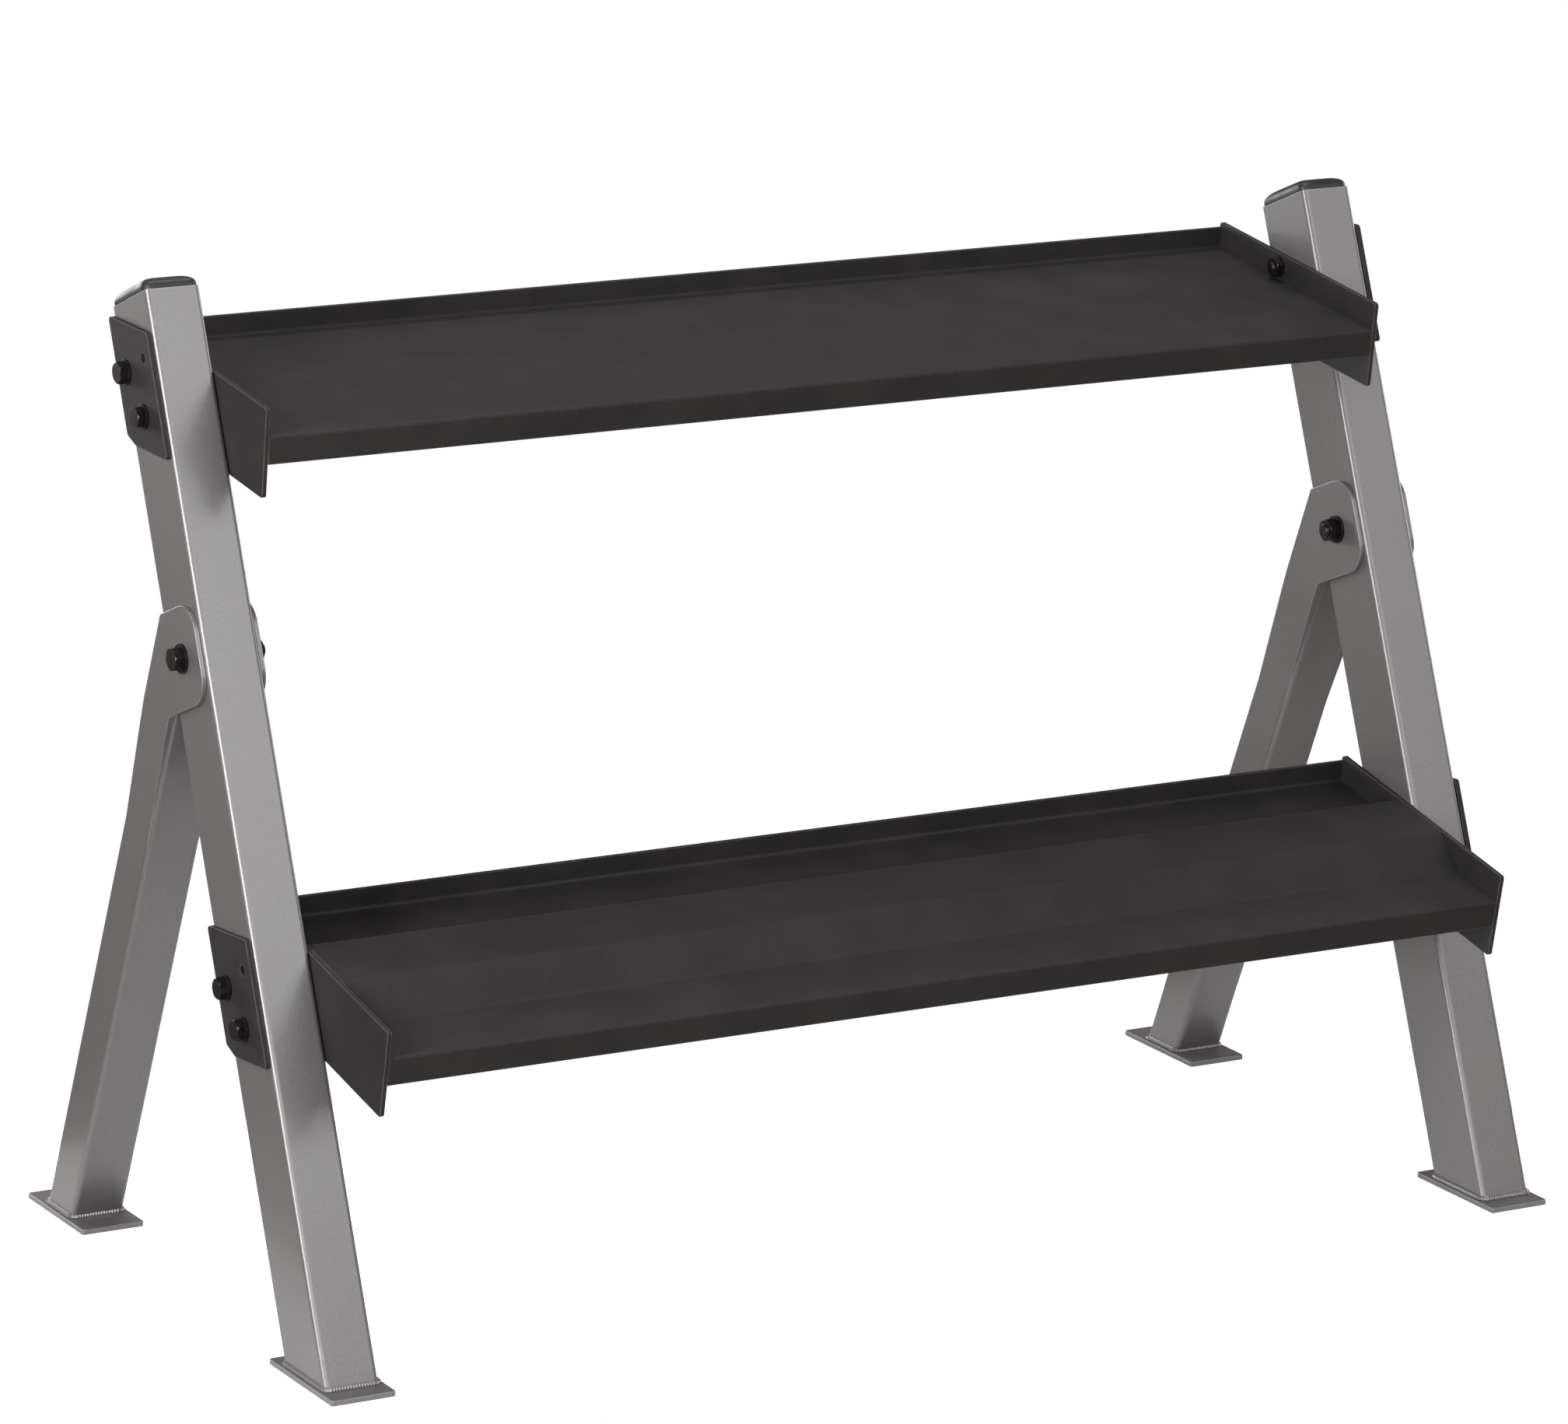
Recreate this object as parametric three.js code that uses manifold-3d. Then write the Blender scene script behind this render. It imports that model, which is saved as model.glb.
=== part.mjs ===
// Two-tier dumbbell rack: two A-shaped ends of rectangular steel tube, with a flat tray bolted
// between them at the top and a ridged tray at the bottom, both tilted towards the front.
// Millimetres. +X to the right, +Y to the back, +Z up; the origin is on the floor, in the middle
// of the four feet.
import * as THREE from 'three';
import { mergeVertices } from 'three/addons/utils/BufferGeometryUtils.js';
import Module from 'manifold-3d';

const rad = THREE.MathUtils.degToRad;

// Frame
const RACK_WIDTH = 1219.2;          // over the outer faces of the uprights
const TUBE_WIDTH = 50.8;            // every tube, seen from the front
const TUBE_WALL = 3;
const TUBE_CORNER = 5;              // outside corner radius of the tubes
const UPRIGHT_DEPTH = 76.2;
const UPRIGHT_LEAN = rad(21.7);     // top leans back
const UPRIGHT_LENGTH = 952;         // floor to the square-cut top, along the front face
const UPRIGHT_FOOT_Y = -300;        // front face of the upright at floor level
const LEG_DEPTH = 50.8;
const LEG_LEAN = rad(24);           // top leans forward, against the back of the upright
const LEG_LENGTH = 760;             // before its top is mitred to the upright
const LEG_FOOT_Y = 233;             // front face of the leg at floor level
const TUBE_STUB = 60;               // below the floor, before a tube's foot is cut level
const GAP = 0.3;                    // between pieces that touch

// Feet
const FOOT = { width: 60, length: 124, thickness: 5 };
const FRONT_FOOT_OVERHANG = 20;     // plate in front of the upright
const REAR_FOOT_OVERHANG = 37;      // plate in front of the rear leg

// Cheek plates that lap the upright at the top of the rear leg, in upright coordinates:
// t runs back from the front face, s runs up the tube from the floor
const CHEEK = { thickness: 4, front: 4, bottom: 596, top: 683, topRadius: 26, bottomRadius: 24 };
// The tail is welded along the leg, below the upright: full is the length left at full thickness,
// edge the thickness it is feathered down to, and inset its distance from the leg's faces.
const CHEEK_TAIL = { length: 150, full: 15, edge: 0.6, inset: 3, corner: 4 };
const LAP_BOLT = { t: 38.1, s: 639 };

// Shelves: the place of the front top corner of the end plates, and the tilt
const UPPER_SHELF = { y: -80, z: 800.4, tilt: rad(7) };
const LOWER_SHELF = { y: -313, z: 316, tilt: rad(11.4) };
const END_PLATE = { thickness: 4, height: 79.4, corner: 3 };
const TRAY_DEPTH = 268;
const TRAY_SHEET = 3;
const TRAY_FLOOR = -24.5;           // floor, below the top edge of the end plates
const FRONT_LIP = 25.5;             // lip folded down from the front of the floor
const BACK_STOP = 20;               // edge folded up from the back of the floor
const RIDGE = { foot: 66, slope: 33 };   // raised middle of the lower tray, from either edge

// Outer bracket plates, in upright coordinates. The slope is that of their top and bottom edges,
// and top is the s of the front top corner.
const BRACKET = { thickness: 4.8, width: 73.4, height: 111, front: 1.8, corner: 3.5 };
const BRACKET_CHAMFER = { run: 13.5, rise: 12 };
const BRACKET_LEVELS = {
  upper: { top: 914.6, slope: rad(22.5), rearBolt: 891.5, frontBolt: 848.4, spareHole: 895.7 },
  lower: { top: 391.4, slope: rad(17.2), rearBolt: 357.6, frontBolt: 319, spareHole: 367.3 },
};
const BOLT_T = { rear: 55.7, front: 34.2 };
const SPARE_HOLE = { t: 17.5, radius: 4.5 };

// Fasteners
const SHELF_BOLT = {
  radius: 5, hole: 5.5, flats: 17, head: 7, nut: 8, washer: 11, washerThickness: 2,
};
const LAP_BOLT_SIZE = {
  radius: 6, hole: 6.5, flats: 19, head: 8, nut: 10, washer: 13, washerThickness: 2.4,
};
const BOLT_TAIL = 3;                // thread past the nut

// Caps
const CAP = { rim: 2.5, crown: 10, corner: 9 };
const CAP_SKIRT = { length: 18, wall: 2.5, corner: 2, clearance: 0.5 };

const SIDES = [['left', -1], ['right', 1]];
const X_OUT = RACK_WIDTH / 2;               // outer face of the uprights
const X_IN = X_OUT - TUBE_WIDTH;            // inner face of the uprights

const FINISH = {
  silver: { color: 0x8f8f90, roughness: 0.42, metalness: 0.45 },
  black: { color: 0x363434, roughness: 0.5, metalness: 0.1 },
  oxide: { color: 0x1b1a1a, roughness: 0.45, metalness: 0.6 },
  plastic: { color: 0x1e1d1e, roughness: 0.6, metalness: 0 },
};

const wasm = await Module();
wasm.setup();

// ---- Solids -------------------------------------------------------------------------------

function toSolid(geometry) {
  const bare = geometry.clone();
  bare.deleteAttribute('normal');
  bare.deleteAttribute('uv');
  const merged = mergeVertices(bare, 1e-4);
  return new wasm.Manifold(new wasm.Mesh({
    numProp: 3,
    vertProperties: Float32Array.from(merged.attributes.position.array),
    triVerts: Uint32Array.from(merged.index.array),
  }));
}

function toGeometry(solid) {
  const mesh = solid.getMesh();
  const geometry = new THREE.BufferGeometry();
  geometry.setAttribute('position', new THREE.BufferAttribute(mesh.vertProperties, 3));
  geometry.setIndex(new THREE.BufferAttribute(mesh.triVerts, 1));
  geometry.computeVertexNormals();
  return geometry;
}

function cut(geometry, cutters) {
  return toGeometry(cutters.reduce((solid, cutter) => solid.subtract(toSolid(cutter)), toSolid(geometry)));
}

function trim(geometry, outline) {
  return toGeometry(toSolid(geometry).intersect(toSolid(outline)));
}

function join(first, second) {
  return toGeometry(toSolid(first).add(toSolid(second)));
}

// A shape drawn in the side view (Y across, Z up) becomes a plate, centred on X.
const SIDE_VIEW = new THREE.Matrix4().makeBasis(
  new THREE.Vector3(0, 1, 0), new THREE.Vector3(0, 0, 1), new THREE.Vector3(1, 0, 0));

function extruded(shape, depth, curveSegments) {
  return new THREE.ExtrudeGeometry(shape, { depth, bevelEnabled: false, curveSegments });
}

function plate(shape, thickness) {
  return extruded(shape, thickness, 6).translate(0, 0, -thickness / 2).applyMatrix4(SIDE_VIEW);
}

function rodAlongX(radius, length, sides) {
  return new THREE.CylinderGeometry(radius, radius, length, sides).rotateZ(Math.PI / 2);
}

function boltHole(radius, y, z) {
  return rodAlongX(radius, 4 * TUBE_WIDTH, 20).translate(0, y, z);
}

// A polygon with every corner rounded by its own radius; corners are [y, z, radius].
function roundedPolygon(corners) {
  const shape = new THREE.Shape();
  corners.forEach(([y, z, radius], i) => {
    const corner = new THREE.Vector2(y, z);
    const [before, after] = [corners.at(i - 1), corners[(i + 1) % corners.length]];
    const towards = [before, after].map(([a, b]) => new THREE.Vector2(a, b).sub(corner).normalize());
    const reach = radius / Math.tan(Math.acos(towards[0].dot(towards[1])) / 2);
    const [start, end] = towards.map((direction) => corner.clone().addScaledVector(direction, reach));
    if (i === 0) shape.moveTo(start.x, start.y);
    else shape.lineTo(start.x, start.y);
    if (radius > 0) shape.quadraticCurveTo(corner.x, corner.y, end.x, end.y);
  });
  shape.closePath();
  return shape;
}

function roundedRectangle(width, depth, radius) {
  const [x, y] = [width / 2 - radius, depth / 2 - radius];
  const shape = new THREE.Shape();
  shape.absarc(x, y, radius, 0, Math.PI / 2);
  shape.absarc(-x, y, radius, Math.PI / 2, Math.PI);
  shape.absarc(-x, -y, radius, Math.PI, 1.5 * Math.PI);
  shape.absarc(x, -y, radius, 1.5 * Math.PI, 2 * Math.PI);
  shape.closePath();
  return shape;
}

// Steel tube along +Z, its front face on y = 0.
function tube(depth, from, to) {
  const section = roundedRectangle(TUBE_WIDTH, depth, TUBE_CORNER);
  section.holes.push(roundedRectangle(
    TUBE_WIDTH - 2 * TUBE_WALL, depth - 2 * TUBE_WALL, TUBE_CORNER - TUBE_WALL));
  return extruded(section, to - from, 4).translate(0, depth / 2, from);
}

// ---- Scene graph --------------------------------------------------------------------------

function node(name, geometry, finish, parent, x = 0, y = 0, z = 0) {
  const mesh = new THREE.Mesh(geometry, new THREE.MeshStandardMaterial(FINISH[finish]));
  mesh.name = name;
  mesh.position.set(x, y, z);
  parent.add(mesh);
  return mesh;
}

function tiltedGroup(parent, y, z, angle) {
  const group = new THREE.Group();
  group.position.set(0, y, z);
  group.rotation.x = angle;
  group.updateMatrixWorld(true);
  parent.add(group);
  return group;
}

const rack = new THREE.Group();
const uprightFrame = tiltedGroup(rack, UPRIGHT_FOOT_Y, 0, -UPRIGHT_LEAN);
const legFrame = tiltedGroup(rack, LEG_FOOT_Y, 0, LEG_LEAN);
const upperShelf = tiltedGroup(rack, UPPER_SHELF.y, UPPER_SHELF.z, UPPER_SHELF.tilt);
const lowerShelf = tiltedGroup(rack, LOWER_SHELF.y, LOWER_SHELF.z, LOWER_SHELF.tilt);

// A point given in one frame's (y, z), as seen in another frame's.
function sidePoint(from, to, y, z) {
  const point = to.worldToLocal(from.localToWorld(new THREE.Vector3(0, y, z)));
  return new THREE.Vector2(point.y, point.z);
}

function carried(geometry, from, to) {
  return geometry.applyMatrix4(from.matrixWorld).applyMatrix4(to.matrixWorld.clone().invert());
}

// ---- Tubes and feet -----------------------------------------------------------------------

// All below the top of the foot plates, seen in a tilted frame.
function belowFeet(frame) {
  const size = 4 * FOOT.length;
  const block = new THREE.BoxGeometry(size, 2 * size, size)
    .translate(0, frame.position.y, FOOT.thickness + GAP - size / 2);
  return carried(block, rack, frame);
}

function shelfBoltPlaces(level) {
  const { rearBolt, frontBolt } = BRACKET_LEVELS[level];
  return [
    { place: 'rear', t: BOLT_T.rear, s: rearBolt },
    { place: 'front', t: BOLT_T.front, s: frontBolt },
  ];
}

// The spare holes go through the outer wall only, which is on the given side.
function uprightGeometry(side) {
  const levels = Object.keys(BRACKET_LEVELS);
  const spareHole = (level) => rodAlongX(SPARE_HOLE.radius, 4 * TUBE_WALL, 20)
    .translate(side * TUBE_WIDTH / 2, SPARE_HOLE.t, BRACKET_LEVELS[level].spareHole);
  return cut(tube(UPRIGHT_DEPTH, -TUBE_STUB, UPRIGHT_LENGTH), [
    belowFeet(uprightFrame),
    boltHole(LAP_BOLT_SIZE.hole, LAP_BOLT.t, LAP_BOLT.s),
    ...levels.flatMap(shelfBoltPlaces).map(({ t, s }) => boltHole(SHELF_BOLT.hole, t, s)),
    ...levels.map(spareHole),
  ]);
}

function legGeometry() {
  const size = 2 * UPRIGHT_LENGTH;
  const upright = new THREE.BoxGeometry(size, size, size)
    .translate(0, UPRIGHT_DEPTH + GAP - size / 2, LAP_BOLT.s);
  return cut(tube(LEG_DEPTH, -TUBE_STUB, LEG_LENGTH), [
    belowFeet(legFrame),
    carried(upright, uprightFrame, legFrame),
  ]);
}

function footPlate() {
  return new THREE.BoxGeometry(FOOT.width, FOOT.length, FOOT.thickness)
    .translate(0, FOOT.length / 2, FOOT.thickness / 2);
}

// The cap's outside: a low rim and a crown, flatter towards the middle.
function capDome() {
  const dome = new THREE.BoxGeometry(TUBE_WIDTH, UPRIGHT_DEPTH, 1, 12, 16, 1);
  const points = dome.attributes.position;
  for (let i = 0; i < points.count; i += 1) {
    const across = Math.abs(points.getX(i)) / (TUBE_WIDTH / 2);
    const along = Math.abs(points.getY(i)) / (UPRIGHT_DEPTH / 2);
    const crown = CAP.crown * Math.sqrt(Math.max(0, 1 - Math.max(across, along) ** 3));
    points.setZ(i, points.getZ(i) > 0 ? CAP.rim + crown : 0);
  }
  const outline = roundedRectangle(TUBE_WIDTH, UPRIGHT_DEPTH, CAP.corner);
  return trim(dome, extruded(outline, CAP.rim + 2 * CAP.crown, 4).translate(0, 0, -CAP.rim));
}

function endCapGeometry() {
  const { length, wall, corner, clearance } = CAP_SKIRT;
  const inset = 2 * (TUBE_WALL + clearance);
  const section = roundedRectangle(TUBE_WIDTH - inset, UPRIGHT_DEPTH - inset, corner);
  section.holes.push(roundedRectangle(
    TUBE_WIDTH - inset - 2 * wall, UPRIGHT_DEPTH - inset - 2 * wall, corner / 2));
  const skirt = extruded(section, length + CAP.rim / 2, 2).translate(0, 0, -length);
  return join(capDome(), skirt).translate(0, UPRIGHT_DEPTH / 2, 0);
}

// ---- Cheek plates at the lap joint --------------------------------------------------------

// Where the leg's face at the given depth crosses the height s of the upright.
function legFaceAtHeight(depth, s) {
  const low = sidePoint(legFrame, uprightFrame, depth, 0);
  const high = sidePoint(legFrame, uprightFrame, depth, LEG_LENGTH);
  return low.lerp(high, (s - low.y) / (high.y - low.y));
}

function cheekOutline() {
  const rearTop = legFaceAtHeight(LEG_DEPTH, CHEEK.top);
  const apex = legFaceAtHeight(0, CHEEK.bottom);
  const apexOnLeg = sidePoint(uprightFrame, legFrame, apex.x, apex.y);
  const { length, inset, corner } = CHEEK_TAIL;
  const tailEnd = apexOnLeg.y - length;
  const rearTail = sidePoint(legFrame, uprightFrame, LEG_DEPTH - inset, tailEnd);
  const frontTail = sidePoint(legFrame, uprightFrame, inset, tailEnd);
  return roundedPolygon([
    [rearTop.x, rearTop.y, 1],
    [CHEEK.front, CHEEK.top, CHEEK.topRadius],
    [CHEEK.front, CHEEK.bottom, CHEEK.bottomRadius],
    [apex.x, apex.y, 2],
    [frontTail.x, frontTail.y, corner],
    [rearTail.x, rearTail.y, corner],
  ]);
}

// facing is the side, +1 or -1 in X, that the feathered face looks to.
function cheekGeometry(facing) {
  const apex = legFaceAtHeight(0, CHEEK.bottom);
  const { length, full, edge } = CHEEK_TAIL;
  const start = sidePoint(uprightFrame, legFrame, apex.x, apex.y).y - full;
  const feather = Math.atan((CHEEK.thickness - edge) / (length - full));
  const wedge = new THREE.BoxGeometry(length, 2 * length, 2 * length)
    .translate(length / 2, 0, -length)
    .rotateY(feather)
    .translate(CHEEK.thickness / 2, 0, start);
  if (facing < 0) wedge.rotateZ(Math.PI);
  return cut(plate(cheekOutline(), CHEEK.thickness), [
    boltHole(LAP_BOLT_SIZE.hole, LAP_BOLT.t, LAP_BOLT.s),
    carried(wedge, legFrame, uprightFrame),
  ]);
}

// ---- Shelves ------------------------------------------------------------------------------

// Bent sheet: a path along one face, thickened to its right-hand side.
function bentSheet(path, thickness) {
  const points = path.map(([y, z]) => new THREE.Vector2(y, z));
  const normals = points.slice(1).map((point, i) => {
    const along = point.clone().sub(points[i]).normalize();
    return new THREE.Vector2(along.y, -along.x);
  });
  const back = points.map((point, i) => {
    const [n, m] = [normals[Math.max(i - 1, 0)], normals[Math.min(i, normals.length - 1)]];
    const mitre = n.clone().add(m);
    return point.clone().addScaledVector(mitre, 2 * thickness / mitre.lengthSq());
  });
  return new THREE.Shape([...points, ...back.reverse()]);
}

function trayGeometry(ridged) {
  const ridge = [
    [RIDGE.foot, TRAY_FLOOR],
    [RIDGE.foot + RIDGE.slope, 0],
    [TRAY_DEPTH - RIDGE.foot - RIDGE.slope, 0],
    [TRAY_DEPTH - RIDGE.foot, TRAY_FLOOR],
  ];
  const path = [
    [0, TRAY_FLOOR - FRONT_LIP],
    [0, TRAY_FLOOR],
    ...(ridged ? ridge : []),
    [TRAY_DEPTH - TRAY_SHEET, TRAY_FLOOR],
    [TRAY_DEPTH - TRAY_SHEET, TRAY_FLOOR + BACK_STOP],
  ];
  return plate(bentSheet(path, TRAY_SHEET), 2 * (X_IN - END_PLATE.thickness - 2 * GAP));
}

function endPlateGeometry(shelf, level) {
  const outline = roundedPolygon([
    [0, 0, END_PLATE.corner],
    [TRAY_DEPTH, 0, END_PLATE.corner],
    [TRAY_DEPTH, -END_PLATE.height, END_PLATE.corner],
    [0, -END_PLATE.height, END_PLATE.corner],
  ]);
  const holes = shelfBoltPlaces(level).map(({ t, s }) => {
    const place = sidePoint(uprightFrame, shelf, t, s);
    return boltHole(SHELF_BOLT.hole, place.x, place.y);
  });
  return cut(plate(outline, END_PLATE.thickness), holes);
}

// Drawn in upright coordinates, where it stays.
function bracketGeometry(level) {
  const { top, slope, spareHole } = BRACKET_LEVELS[level];
  const { front, width, height, corner, thickness } = BRACKET;
  const back = front + width;
  const rearTop = top + width * Math.tan(slope);
  const chamferFoot = top - height + (width - BRACKET_CHAMFER.run) * Math.tan(slope);
  const outline = roundedPolygon([
    [front, top, corner],
    [back, rearTop, corner],
    [back, chamferFoot + BRACKET_CHAMFER.rise, corner],
    [back - BRACKET_CHAMFER.run, chamferFoot, corner],
    [front, top - height, corner],
  ]);
  return cut(plate(outline, thickness), [
    ...shelfBoltPlaces(level).map(({ t, s }) => boltHole(SHELF_BOLT.hole, t, s)),
    boltHole(SPARE_HOLE.radius, SPARE_HOLE.t, spareHole),
  ]);
}

// ---- Fasteners ----------------------------------------------------------------------------

function hexagon(flats, hole) {
  const radius = flats / Math.sqrt(3);
  const shape = new THREE.Shape();
  for (let i = 0; i < 6; i += 1) {
    const angle = i * Math.PI / 3;
    const [y, z] = [radius * Math.cos(angle), radius * Math.sin(angle)];
    if (i === 0) shape.moveTo(y, z);
    else shape.lineTo(y, z);
  }
  shape.closePath();
  if (hole > 0) shape.holes.push(new THREE.Path().absarc(0, 0, hole, 0, 2 * Math.PI));
  return shape;
}

function ring(outer, inner, thickness) {
  const shape = new THREE.Shape().absarc(0, 0, outer, 0, 2 * Math.PI);
  shape.holes.push(new THREE.Path().absarc(0, 0, inner, 0, 2 * Math.PI));
  return plate(shape, thickness);
}

// The head's flat underside is at x = 0, and the shank runs towards -X.
function boltGeometry(size, length) {
  const head = plate(hexagon(size.flats, 0), size.head).translate(size.head / 2, 0, 0);
  const shank = rodAlongX(size.radius, length + 1, 16).translate(1 - (length + 1) / 2, 0, 0);
  return join(head, shank);
}

// A bolt from outside to inside: head, washer, outer plate, upright, inner plate, then nut.
function fastener(names, size, side, outer, inner, parent, y, z, innerWasher) {
  const outerWasher = X_OUT + 2 * GAP + outer;
  const head = outerWasher + size.washerThickness + GAP;
  const backing = innerWasher ? size.washerThickness + GAP : 0;
  const nut = X_IN - 2 * GAP - inner - backing;
  const length = head - (nut - size.nut - BOLT_TAIL);
  const bolt = node(names.bolt, boltGeometry(size, length), 'oxide', parent, side * head, y, z);
  if (side < 0) bolt.rotation.y = Math.PI;
  const washer = () => ring(size.washer, size.hole, size.washerThickness);
  node(names.washer, washer(), 'oxide', parent, side * (outerWasher + size.washerThickness / 2), y, z);
  if (innerWasher) {
    const place = nut + GAP + size.washerThickness / 2;
    node(innerWasher, washer(), 'oxide', parent, side * place, y, z);
  }
  const nutGeometry = plate(hexagon(size.flats, size.radius + GAP), size.nut);
  node(names.nut, nutGeometry, 'oxide', parent, side * (nut - size.nut / 2), y, z);
}

// ---- Assembly -----------------------------------------------------------------------------

function addSide(name, side) {
  const middle = side * (X_OUT - TUBE_WIDTH / 2);
  node(`upright_${name}`, uprightGeometry(side), 'silver', uprightFrame, middle);
  node(`upright_cap_${name}`, endCapGeometry(), 'plastic', uprightFrame, middle, 0, UPRIGHT_LENGTH + GAP);
  node(`rear_leg_${name}`, legGeometry(), 'silver', legFrame, middle);
  node(`front_foot_${name}`, footPlate(), 'silver', rack, middle, UPRIGHT_FOOT_Y - FRONT_FOOT_OVERHANG);
  node(`rear_foot_${name}`, footPlate(), 'silver', rack, middle, LEG_FOOT_Y - REAR_FOOT_OVERHANG);

  const cheekOut = side * (X_OUT + GAP + CHEEK.thickness / 2);
  const cheekIn = side * (X_IN - GAP - CHEEK.thickness / 2);
  node(`lap_cheek_outer_${name}`, cheekGeometry(side), 'silver', uprightFrame, cheekOut);
  node(`lap_cheek_inner_${name}`, cheekGeometry(-side), 'silver', uprightFrame, cheekIn);
  const lapNames = {
    bolt: `lap_bolt_${name}`,
    washer: `lap_washer_outer_${name}`,
    nut: `lap_nut_${name}`,
  };
  fastener(lapNames, LAP_BOLT_SIZE, side, CHEEK.thickness, CHEEK.thickness, uprightFrame,
    LAP_BOLT.t, LAP_BOLT.s, `lap_washer_inner_${name}`);
}

function addShelf(level, shelf, ridged) {
  node(`${level}_tray`, trayGeometry(ridged), 'black', shelf);
  for (const [name, side] of SIDES) {
    const plateX = side * (X_IN - GAP - END_PLATE.thickness / 2);
    node(`${level}_end_plate_${name}`, endPlateGeometry(shelf, level), 'black', shelf, plateX);
    const bracketX = side * (X_OUT + GAP + BRACKET.thickness / 2);
    node(`${level}_bracket_${name}`, bracketGeometry(level), 'black', uprightFrame, bracketX);
    for (const { place, t, s } of shelfBoltPlaces(level)) {
      const tag = `${level}_${place}_${name}`;
      const names = { bolt: `bolt_${tag}`, washer: `washer_${tag}`, nut: `nut_${tag}` };
      fastener(names, SHELF_BOLT, side, BRACKET.thickness, END_PLATE.thickness, uprightFrame, t, s, null);
    }
  }
}

for (const [name, side] of SIDES) addSide(name, side);
addShelf('upper', upperShelf, false);
addShelf('lower', lowerShelf, true);

export default rack;
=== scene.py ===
# A two-tier dumbbell rack: welded ends of silver tube, black trays bolted between them, black
# oxide bolts and plastic tube caps. Lengths are in metres; +X is the rack's right, +Y its back.
from math import cos, pi, radians, sin, sqrt, tan

import bmesh
import bpy
from mathutils import Matrix, Vector


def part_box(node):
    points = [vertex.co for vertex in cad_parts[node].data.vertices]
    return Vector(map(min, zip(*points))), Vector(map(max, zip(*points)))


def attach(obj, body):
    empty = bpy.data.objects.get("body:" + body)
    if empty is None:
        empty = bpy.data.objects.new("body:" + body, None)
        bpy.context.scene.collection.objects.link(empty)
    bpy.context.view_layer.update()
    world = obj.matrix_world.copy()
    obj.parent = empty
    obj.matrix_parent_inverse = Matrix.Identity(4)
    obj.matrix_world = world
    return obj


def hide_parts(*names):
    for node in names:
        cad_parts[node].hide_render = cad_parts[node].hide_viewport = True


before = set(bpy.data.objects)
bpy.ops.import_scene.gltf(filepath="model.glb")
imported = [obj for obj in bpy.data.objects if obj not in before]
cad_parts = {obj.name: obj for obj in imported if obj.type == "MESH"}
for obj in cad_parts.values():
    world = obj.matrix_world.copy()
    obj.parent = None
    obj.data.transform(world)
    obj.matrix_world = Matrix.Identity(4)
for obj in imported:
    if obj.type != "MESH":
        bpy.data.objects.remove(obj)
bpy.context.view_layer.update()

MM = 0.001
SIDES = (("left", -1), ("right", 1))

# Sizes of the steelwork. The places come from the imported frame.
TUBE_WIDTH = 50.8 * MM
TUBE_WALL = 3 * MM
TUBE_CORNER = 5 * MM
UPRIGHT_DEPTH = 76.2 * MM
UPRIGHT_LEAN = radians(21.7)
LEG_DEPTH = 50.8 * MM
LEG_LEAN = radians(24)
TUBE_STUB = 60 * MM           # below the floor, before a tube's foot is cut level
LEG_TOP = 760 * MM            # along the leg, before its top is mitred
SHELF_TILT = {"upper": radians(7), "lower": radians(11.4)}
GAP = 0.3 * MM                # between two parts that touch

CHEEK_THICKNESS = 4 * MM
CHEEK_TOP = 683 * MM          # along the upright, from the floor
CHEEK_BOTTOM = 596 * MM
CHEEK_FRONT = 4 * MM          # behind the upright's front face
CHEEK_TAIL = 150 * MM         # how far it runs out along the leg
CHEEK_EDGE = 1 * MM           # rounding of its edges
CHEEK_CORNERS = {"rear": 1 * MM, "top": 26 * MM, "bottom": 24 * MM, "crotch": 2 * MM, "tail": 4 * MM}
TAIL_INSET = 2 * MM           # the tail's end, in from the leg's front and back
TAIL_FULL = 15 * MM           # of full thickness, before the tail thins
TAIL_FADE = 1.2 * MM          # how deep into the leg's corners it is dressed
ROOT_INSET = 0.6 * MM         # the weld metal under the cheek, in from the leg's front and back
ROOT_DEPTH = 2.9 * MM         # into the leg's wall
ROOT_SHORT = {"crotch": 4 * MM, "top": 6 * MM, "middle": 8 * MM}   # inside the cheek's outline

TRAY_DEPTH = 268 * MM
SHEET = 3 * MM
BEND = 3.2 * MM               # setback of the trays' bends
TRAY_FLOOR = -24.5 * MM       # under the top edge of the end plates
FRONT_LIP = 25.5 * MM
BACK_STOP = 20 * MM
RIDGE_FOOT = 66 * MM
RIDGE_SLOPE = 33 * MM
END_PLATE_HEIGHT = 79.4 * MM
END_PLATE_CORNER = 3 * MM

BRACKET_WIDTH = 73.4 * MM
BRACKET_HEIGHT = 111 * MM
BRACKET_FRONT = 1.8 * MM      # behind the upright's front face
BRACKET_CHAMFER = (13.5 * MM, 12 * MM)
BRACKET_CORNER = 3.5 * MM
# Slope of the top and bottom edges, and how far under the front top corner the holes are.
BRACKET = {
    "upper": {"slope": radians(22.5), "rear_bolt": 23.1 * MM, "spare_hole": 18.9 * MM},
    "lower": {"slope": radians(17.2), "rear_bolt": 33.8 * MM, "spare_hole": 24.1 * MM},
}
SPARE_HOLE_T = 17.5 * MM      # behind the upright's front face
SPARE_HOLE_RADIUS = 4.5 * MM

CAP_RIM = 2.5 * MM
CAP_CROWN = 10 * MM           # height of the dome above the rim
CAP_SKIRT = 18 * MM
CAP_CORNER = 9 * MM
CAP_WALL = 2.5 * MM
DOME_STEPS = 12
DOME_STEP = radians(7)

FOOT_CORNER = 2.5 * MM
WELD_BEAD = 3 * MM
WELD_RIPPLE = 0.24            # share of the bead's width
WELD_CUTS = 30

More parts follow.
